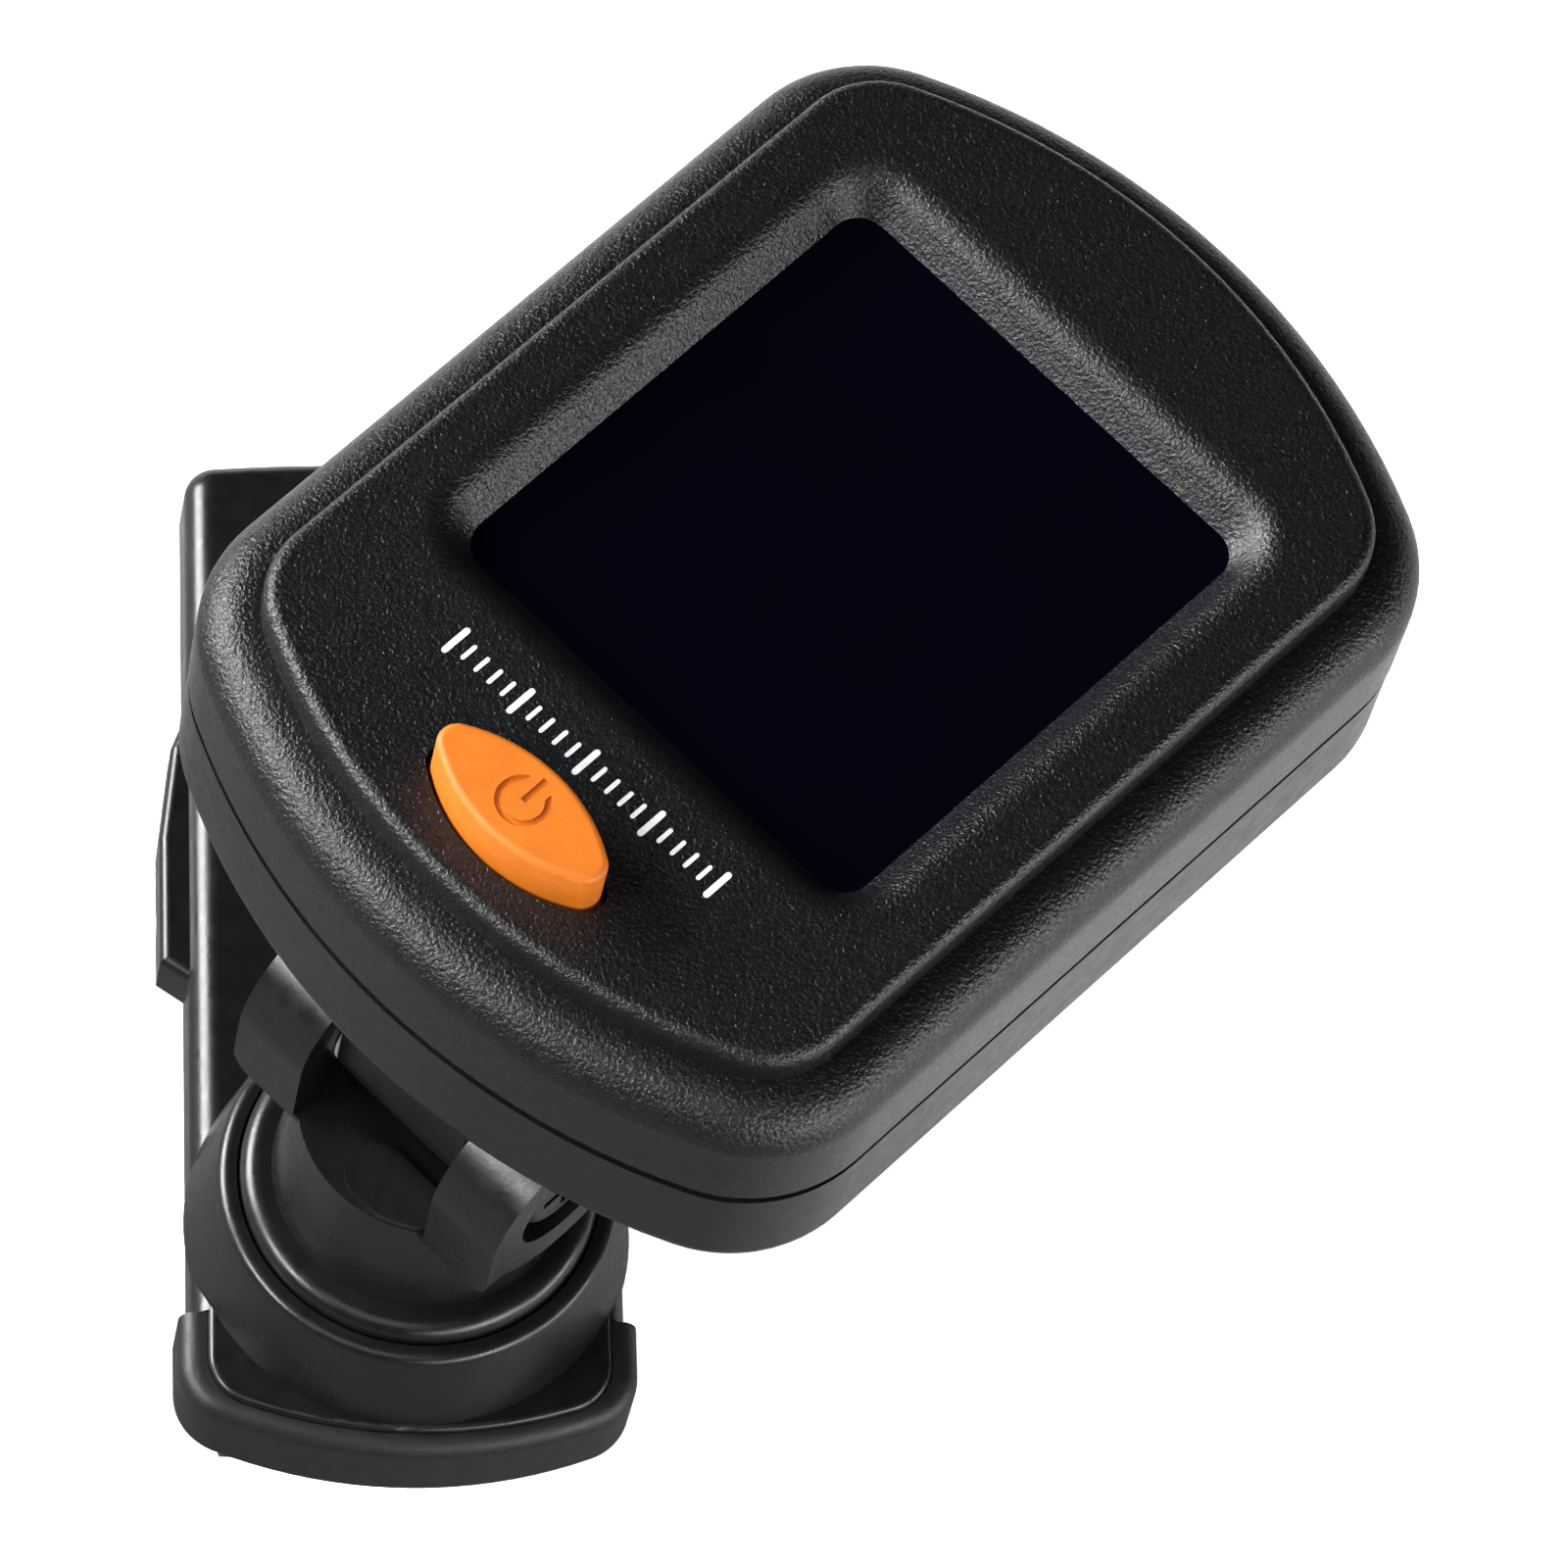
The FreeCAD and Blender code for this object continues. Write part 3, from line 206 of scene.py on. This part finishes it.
def metal(name, colour, roughness, brush=0.4):
    """Bare metal with fine uneven polish."""
    skin = Surface(name, colour, roughness, Metallic=1.0)
    darker = tuple(channel * 0.82 for channel in colour)
    skin.tint(skin.noise(0.8 * MM, detail=3), darker, colour)
    skin.rough(skin.noise(brush * MM, detail=4), roughness - 0.07, roughness + 0.1)
    skin.bump(skin.noise(0.08 * MM), 0.003 * MM)
    return skin.material


def laminate():
    """The circuit board: green solder mask with paler copper areas under it."""
    skin = Surface("board_green", (0.01, 0.09, 0.03), 0.32)
    skin.tint(skin.spots(2.2 * MM), (0.015, 0.13, 0.045), (0.006, 0.065, 0.02), 0.42, 0.46)
    skin.bump(skin.spots(2.2 * MM), 0.02 * MM)
    return skin.material


def banded_rubber():
    """The zebra connector: thin dark bands through pale silicone."""
    skin = Surface("zebra_bands", (0.5, 0.35, 0.33), 0.55)
    skin.tint(skin.noise(0.25 * MM, detail=0), (0.03, 0.03, 0.03), (0.55, 0.4, 0.38), 0.48, 0.52)
    return skin.material


def milky_guide():
    """The backlight: milky acrylic."""
    skin = Surface("milky_acrylic", (0.8, 0.82, 0.8), 0.25, Subsurface_Weight=0.2)
    skin.tint(skin.noise(4 * MM), (0.76, 0.79, 0.77), (0.84, 0.86, 0.84))
    return skin.material


def paint(names, material):
    """Give CAD nodes a material in place of their own."""
    for name in names:
        slots = NODES[name].data.materials
        slots.clear()
        slots.append(material)


PLASTIC_BLACK = (0.0042, 0.0046, 0.0054)
CLIP_PLASTIC = satin_plastic("clip_satin", (0.0044, 0.0046, 0.0052), 0.3)
DARK_STEEL = metal("blackened_steel", (0.07, 0.07, 0.075), 0.34)
BRIGHT_STEEL = metal("spring_steel", (0.5, 0.5, 0.51), 0.28)

paint(["front_shell"], grained_plastic())
paint(["rear_shell", "battery_door"], satin_plastic("case_satin", PLASTIC_BLACK, 0.32))
paint(["turntable", "upper_lever", "lower_lever"], CLIP_PLASTIC)
paint(["power_button"], silicone_orange())
paint(["display_window"], tinted_window())
paint(["upper_pad", "lower_pad"],
      satin_plastic("pad_rubber", (0.0048, 0.0048, 0.0052), 0.5, grain=0.02))
paint(["case_screws", "tilt_screw", "tilt_nut", "swivel_screw"], DARK_STEEL)
paint(["clip_pin"], metal("pin_steel", (0.42, 0.42, 0.43), 0.22))
paint(["retaining_washer", "torsion_spring", "wave_washer"], BRIGHT_STEEL)
paint(["battery_contact_minus", "battery_contact_plus"],
      metal("contact_nickel", (0.62, 0.58, 0.5), 0.25))
paint(["battery_cell"], metal("cell_steel", (0.6, 0.6, 0.6), 0.3, brush=0.15))
paint(["piezo_disc"], metal("piezo_brass", (0.66, 0.42, 0.14), 0.32))
paint(["lcd_module"], satin_plastic("lcd_glass", (0.075, 0.085, 0.07), 0.15, grain=0.001))
paint(["backlight_panel"], milky_guide())
paint(["zebra_connector"], banded_rubber())
paint(["circuit_board"], laminate())
paint(["controller_chip"], satin_plastic("black_epoxy", (0.008, 0.008, 0.008), 0.22))
paint(["tact_switch"], satin_plastic("switch_plastic", (0.03, 0.03, 0.032), 0.45))
paint(["tilt_washers"], satin_plastic("washer_nylon", (0.62, 0.6, 0.54), 0.5))


# ---------------------------------------------------------------- finished small pieces

def make_piece(name, points, faces, material, body, smooth=True):
    """A mesh object in the row frame, riding on a body if it has just one."""
    mesh = bpy.data.meshes.new(name)
    mesh.from_pydata(points, [], faces)
    mesh.polygons.foreach_set("use_smooth", [smooth] * len(mesh.polygons))
    mesh.materials.append(material)
    tidy = bmesh.new()
    tidy.from_mesh(mesh)
    bmesh.ops.recalc_face_normals(tidy, faces=tidy.faces)
    tidy.to_mesh(mesh)
    tidy.free()
    piece = bpy.data.objects.new(name, mesh)
    bpy.context.scene.collection.objects.link(piece)
    if body:
        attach(piece, body)
    return piece


def tube(path, radius, sides=14):
    """Points and faces of a round tube along a path, closed at both ends."""
    points, faces = [], []
    across = None
    for i, here in enumerate(path):
        ahead = (path[min(i + 1, len(path) - 1)] - path[max(i - 1, 0)]).normalized()
        if across is None:
            across = ahead.orthogonal().normalized()
        across = (across - ahead * across.dot(ahead)).normalized()
        other = ahead.cross(across)
        for k in range(sides):
            turn = math.tau * k / sides
            points.append(here + (across * math.cos(turn) + other * math.sin(turn)) * radius)
    for i in range(len(path) - 1):
        for k in range(sides):
            following = (k + 1) % sides
            faces.append((i * sides + k, i * sides + following,
                          (i + 1) * sides + following, (i + 1) * sides + k))
    last = (len(path) - 1) * sides
    faces.append(tuple(range(sides)))
    faces.append(tuple(last + k for k in range(sides)))
    return points, faces


def spring_path():
    """The wire's middle line: one leg, a close coil about the clip pin, the other leg."""
    axis = Vector(JOINTS["clip_open"]["pos_m"])
    radius, half_coil, leg = 2.1 * MM, 3.18 * MM, 14.6 * MM
    turns = 6
    start, end = math.radians(1.5), math.radians(162.5 + turns * 360)
    coil_steps, leg_steps = 240, 8

    def around(turn, x):
        return axis + Vector((x, -math.sin(turn) * radius, math.cos(turn) * radius))

    path = []
    upper = Vector((0, math.cos(start), math.sin(start)))
    for i in range(leg_steps):
        path.append(around(start, -half_coil) + upper * leg * (1 - i / leg_steps))
    for i in range(coil_steps + 1):
        share = i / coil_steps
        path.append(around(start + (end - start) * share, half_coil * (2 * share - 1)))
    lower = Vector((0, -math.cos(end), -math.sin(end)))
    for i in range(1, leg_steps + 1):
        path.append(around(end, half_coil) + lower * leg * i / leg_steps)
    return path


def add_spring():
    """The wound wire that closes the jaws, made as one fixed piece."""
    wire_radius = 0.48 * MM
    points, faces = tube(spring_path(), wire_radius)
    spring = make_piece("spring_coil", points, faces, BRIGHT_STEEL, None)
    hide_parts("torsion_spring")
    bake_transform(spring)


def add_wave_washer():
    """A thin ring, bent into waves, round the turntable's stem."""
    low, high = (Vector(corner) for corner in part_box("wave_washer"))
    outer = (high.x - low.x) / 2
    inner = 3.15 * MM
    sheet = 0.2 * MM
    middle = (low + high) / 2
    wave = (high.z - low.z - sheet) / 2
    waves, steps = 3, 96
    points, faces = [], []
    for i in range(steps):
        turn = math.tau * i / steps
        level = middle.z + wave * math.cos(waves * turn)
        for radius, side in ((inner, -1), (outer, -1), (outer, 1), (inner, 1)):
            points.append(Vector((middle.x + radius * math.cos(turn),
                                  middle.y + radius * math.sin(turn), level + side * sheet / 2)))
    for i in range(steps):
        following = (i + 1) % steps
        for k in range(4):
            beside = (k + 1) % 4
            faces.append((4 * i + k, 4 * i + beside, 4 * following + beside, 4 * following + k))
    washer = make_piece("waved_ring", points, faces, BRIGHT_STEEL, "swivel", smooth=False)
    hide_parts("wave_washer")


def bar_outline(half_width, half_length, bend=5):
    """A bar's outline with round ends, as (u, v) about its middle."""
    outline = []
    for end in (1, -1):
        for i in range(bend + 1):
            turn = math.pi * i / bend + (0 if end > 0 else math.pi)
            outline.append((half_width * math.cos(turn),
                            end * (half_length - half_width) + half_width * math.sin(turn)))
    return outline


def add_scale():
    """A printed row of tuning marks between the button and the display."""
    ink = Surface("white_ink", (0.78, 0.79, 0.8), 0.5)
    ink.tint(ink.noise(0.15 * MM), (0.66, 0.67, 0.68), (0.82, 0.83, 0.84))
    ink.bump(ink.noise(0.16 * MM), 0.01 * MM)
    middle_v, spacing, count = -15.72 * MM, 0.83 * MM, 10
    root, film = -0.1 * MM, 0.02 * MM
    long_bar = bar_outline(0.16 * MM, 0.88 * MM)
    short_bar = bar_outline(0.11 * MM, 0.5 * MM)
    points, faces = [], []
    for i in range(-count, count + 1):
        outline = long_bar if i % 5 == 0 else short_bar
        first = len(points)
        for level in (root, film):
            for u, v in outline:
                points.append(HEAD @ Vector((i * spacing + u, middle_v + v, level)))
        size = len(outline)
        faces.append(tuple(first + k for k in range(size)))
        faces.append(tuple(first + size + k for k in range(size)))
        for k in range(size):
            beside = (k + 1) % size
            faces.append((first + k, first + beside, first + size + beside, first + size + k))
    make_piece("tuning_marks", points, faces, ink.material, "head", smooth=False)


add_spring()
add_wave_washer()
add_scale()


# ---------------------------------------------------------------- studio and camera

def softbox(name, direction, distance, width, height, radiance):
    """A soft rectangular light, seen from the head in a direction and facing it."""
    lamp = bpy.data.lights.new(name, "AREA")
    lamp.shape = "RECTANGLE"
    lamp.size = width
    lamp.size_y = height
    lamp.energy = radiance * math.pi * width * height
    lit = bpy.data.objects.new(name, lamp)
    bpy.context.scene.collection.objects.link(lit)
    toward = Vector(direction).normalized()
    lit.location = HEAD_ORIGIN + toward * distance
    lit.rotation_euler = toward.to_track_quat("Z", "Y").to_euler()
    return lit


def add_floor():
    """A pale floor just under the lowest point, big enough to fill any view.

    The camera sees it white, with a glow of its own. Painted reflection: glossy rays see a
    darker floor colour that falls off towards the front left, standing in for a table with one
    window beside it.
    """
    low, _ = cad_box
    reach, gap = 3.0, 0.2 * MM
    glow = 0.62
    darkest, brightest = 0.12, 0.75
    fall_off, fall_start, fall_end = (0.8, 0.6, 0), -8 * MM, 45 * MM
    mesh = bpy.data.meshes.new("floor")
    corners = [(-reach, -reach, 0), (reach, -reach, 0), (reach, reach, 0), (-reach, reach, 0)]
    mesh.from_pydata(corners, [], [(0, 1, 2, 3)])
    floor = bpy.data.objects.new("floor", mesh)
    bpy.context.scene.collection.objects.link(floor)
    floor.location = (0, 0, low.z - gap)
    skin = Surface("floor_white", (0.9, 0.9, 0.9), 0.8, Emission_Color=(1, 1, 1, 1))
    # Painted reflection: a grey that darkens towards the front left, used only for glossy rays.
    direction = skin.node("ShaderNodeVectorMath", Vector=skin.place)
    direction.operation = "DOT_PRODUCT"
    direction.inputs[1].default_value = fall_off
    share = skin.spread(direction.outputs["Value"], darkest, brightest, fall_start, fall_end)
    painted_reflection_grey = skin.node("ShaderNodeCombineColor", Red=share, Green=share, Blue=share)
    path = skin.tree.nodes.new("ShaderNodeLightPath").outputs
    # Painted reflection: glossy rays get the darker grey, all other rays the plain 0.9 white.
    white = skin.node("ShaderNodeMixRGB", Fac=path["Is Glossy Ray"], Color1=(0.9, 0.9, 0.9, 1),
                      Color2=painted_reflection_grey.outputs["Color"])
    skin.feed(skin.shader.inputs["Base Color"], white.outputs["Color"])
    shine = skin.spread(path["Is Camera Ray"], 0.0, glow, 0.0, 1.0)
    skin.feed(skin.shader.inputs["Emission Strength"], shine)
    mesh.materials.append(skin.material)


def add_world(above, below):
    """Dim surroundings that are brighter below the horizon than above it."""
    world = bpy.data.worlds.new("studio")
    world.use_nodes = True
    tree = world.node_tree
    background = tree.nodes["Background"]
    direction = tree.nodes.new("ShaderNodeTexCoord").outputs["Generated"]
    parts = tree.nodes.new("ShaderNodeSeparateXYZ")
    tree.links.new(direction, parts.inputs["Vector"])
    level = tree.nodes.new("ShaderNodeMapRange")
    level.inputs["From Min"].default_value = -0.15
    level.inputs["From Max"].default_value = 0.15
    level.inputs["To Min"].default_value = below
    level.inputs["To Max"].default_value = above
    tree.links.new(parts.outputs["Z"], level.inputs["Value"])
    tree.links.new(level.outputs["Result"], background.inputs["Strength"])
    bpy.context.scene.world = world


def add_camera():
    """The photograph's viewpoint."""
    lens = bpy.data.cameras.new("camera")
    lens.sensor_width = 36.0
    lens.lens = 233.3
    lens.clip_start = 0.01
    lens.clip_end = 20.0
    camera = bpy.data.objects.new("camera", lens)
    bpy.context.scene.collection.objects.link(camera)
    camera.location = (-48.592 * MM, -198.157 * MM, 450.585 * MM)
    camera.rotation_euler = [math.radians(a) for a in (27.0553, -7.6689, -1.9358)]
    bpy.context.scene.camera = camera


add_floor()
add_world(above=0.05, below=0.3)
add_camera()
softbox("key", (-0.2, -0.5, 0.84), 0.9, 0.5, 0.5, 1.6)
softbox("shoulder", (-0.8, -0.25, 0.5), 0.6, 0.22, 0.16, 27)
softbox("left", (-0.82, 0.42, 0.33), 0.55, 0.3, 0.26, 26)
softbox("right", (0.93, -0.37, 0.12), 0.55, 0.26, 0.1, 13)
softbox("corner", (0.6, -0.75, 0.3), 0.55, 0.22, 0.16, 13)
softbox("front", (0.3, -0.93, 0.2), 0.55, 0.2, 0.12, 8)
overhead = softbox("overhead", (0, 0, 1), 1.8, 3.4, 3.4, 0.4)
overhead.visible_glossy = False
bpy.context.scene.view_settings.view_transform = "Standard"
